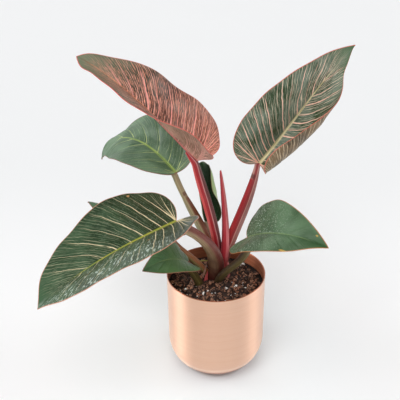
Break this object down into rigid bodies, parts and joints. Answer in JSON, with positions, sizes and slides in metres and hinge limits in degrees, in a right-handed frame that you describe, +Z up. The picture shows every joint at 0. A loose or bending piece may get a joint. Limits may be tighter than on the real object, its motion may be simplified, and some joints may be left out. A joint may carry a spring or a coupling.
{
  "type": "potted philodendron",
  "caption": "Potted philodendron with broad pointed leaves, streaked pink and cream, on red and olive stalks that rise from a round-bottomed copper-coloured pot.",
  "frame": {"origin": "centre of the pot's flat base, where it stands", "axes": "+Z up the pot's axis, +Y away from the usual viewer, +X to that viewer's right"},
  "size_m": [0.3365, 0.2647, 0.3989],
  "materials": {
    "pot": "spun copper colour, finely brushed round, satin",
    "soil": "matte dark bark and peat with white grains",
    "crown": "matte dark red-brown",
    "spear": "satin dark red",
    "scale_front": "dry, matte",
    "scale_side": "dry, matte",
    "scale_curled": "dry, matte",
    "leaf_pink": "satin, pink streaks on brown-red",
    "leaf_striped": "satin, cream and pink streaks on dark green",
    "leaf_left": "satin green, few cream streaks",
    "leaf_front": "satin dark green, cream veins and flecks",
    "leaf_right": "satin plain green",
    "leaf_back": "satin dark green, pale yellow-green underside",
    "leaf_left_back": "satin green",
    "leaf_low": "satin green, paler lower half",
    "stalk_pink": "satin crimson",
    "stalk_striped": "satin crimson and mauve-brown",
    "stalk_left": "satin olive-beige with red-brown edges",
    "stalk_front": "satin beige-olive, maroon at the base",
    "stalk_right": "satin olive-brown",
    "stalk_back": "satin beige",
    "stalk_left_back": "satin olive with red-brown edges",
    "stalk_low": "satin dark olive"
  },
  "bodies": {
    "root": {"pot": "pot", "soil": "soil", "crown": "crown", "spear": "spear", "scale_front": "scale_front", "scale_side": "scale_side", "scale_curled": "scale_curled", "leaf_pink": "leaf_pink", "leaf_striped": "leaf_striped", "leaf_left": "leaf_left", "leaf_front": "leaf_front", "leaf_right": "leaf_right", "leaf_back": "leaf_back", "leaf_left_back": "leaf_left_back", "leaf_low": "leaf_low", "stalk_pink": "stalk_pink", "stalk_striped": "stalk_striped", "stalk_left": "stalk_left", "stalk_front": "stalk_front", "stalk_right": "stalk_right", "stalk_back": "stalk_back", "stalk_left_back": "stalk_left_back", "stalk_low": "stalk_low"}
  },
  "joints": []
}
